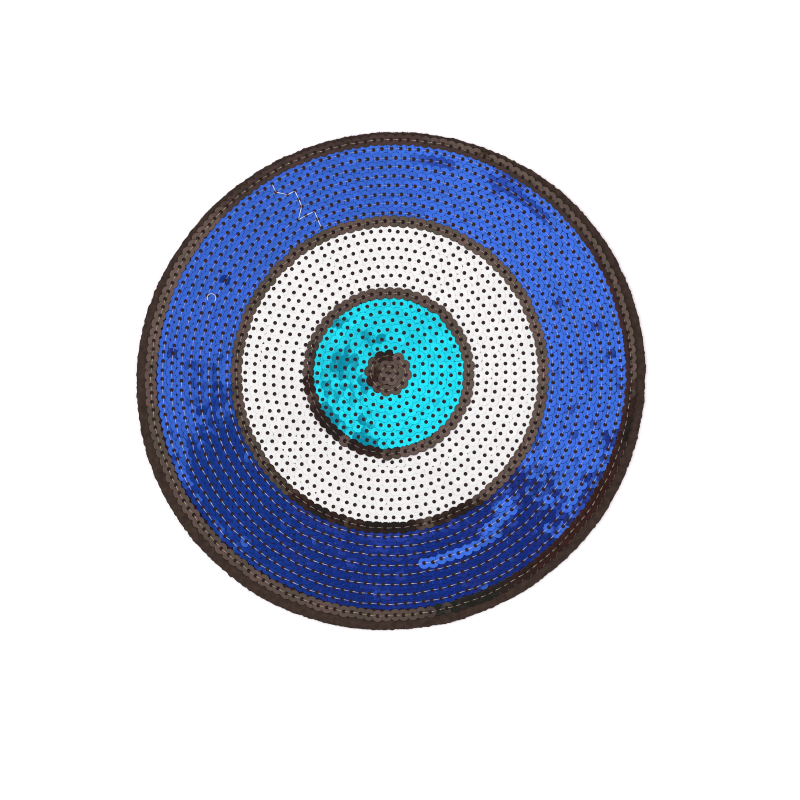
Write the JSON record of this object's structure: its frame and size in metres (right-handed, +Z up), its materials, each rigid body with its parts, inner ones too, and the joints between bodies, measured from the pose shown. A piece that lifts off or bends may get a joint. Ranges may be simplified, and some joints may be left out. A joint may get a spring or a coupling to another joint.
{
  "type": "sequin patch",
  "caption": "Flat round sew-on or iron-on patch: a fabric disc covered with concentric rows of stitched flat sequins that draw an eye with a dark pupil, turquoise iris and blue surround.",
  "frame": {"origin": "centre of the outline, on the underside of the adhesive film", "axes": "+Z up through the sequin face, +Y towards the top of the design, +X to its right"},
  "size_m": [0.1248, 0.1222, 0.0019],
  "materials": {
    "hot_melt_film": "satin hot-melt adhesive film",
    "bobbin_thread": "spun white underside thread",
    "stabiliser": "matt non-woven",
    "ground_fabric": "matt dark brown cloth, cut edge",
    "dark_sequin": "glossy brown-black film",
    "turquoise_sequin": "glossy turquoise film",
    "white_sequin": "glossy opaque white film",
    "blue_sequin": "glossy blue film",
    "filament": "clear monofilament"
  },
  "bodies": {
    "root": {"hot_melt_film": "hot_melt_film", "bobbin_thread": "bobbin_thread", "stabiliser": "stabiliser", "ground_fabric": "ground_fabric", "pupil_row_1": "dark_sequin", "pupil_row_2": "dark_sequin", "iris_row_1": "turquoise_sequin", "iris_row_2": "turquoise_sequin", "iris_row_3": "turquoise_sequin", "iris_row_4": "turquoise_sequin", "iris_row_5": "turquoise_sequin", "iris_row_6": "turquoise_sequin", "iris_outline_row": "dark_sequin", "white_row_1": "white_sequin", "white_row_2": "white_sequin", "white_row_3": "white_sequin", "white_row_4": "white_sequin", "white_row_5": "white_sequin", "white_row_6": "white_sequin", "white_row_7": "white_sequin", "white_outline_row": "dark_sequin", "blue_row_1": "blue_sequin", "blue_row_2": "blue_sequin", "blue_row_3": "blue_sequin", "blue_row_4": "blue_sequin", "blue_row_5": "blue_sequin", "blue_row_6": "blue_sequin", "blue_row_7": "blue_sequin", "blue_row_8": "blue_sequin", "border_row": "dark_sequin", "pupil_thread": "filament", "iris_thread": "filament", "iris_outline_thread": "filament", "white_thread": "filament", "white_outline_thread": "filament", "blue_thread": "filament", "border_thread": "filament", "thread_tail": "filament"}
  },
  "joints": []
}
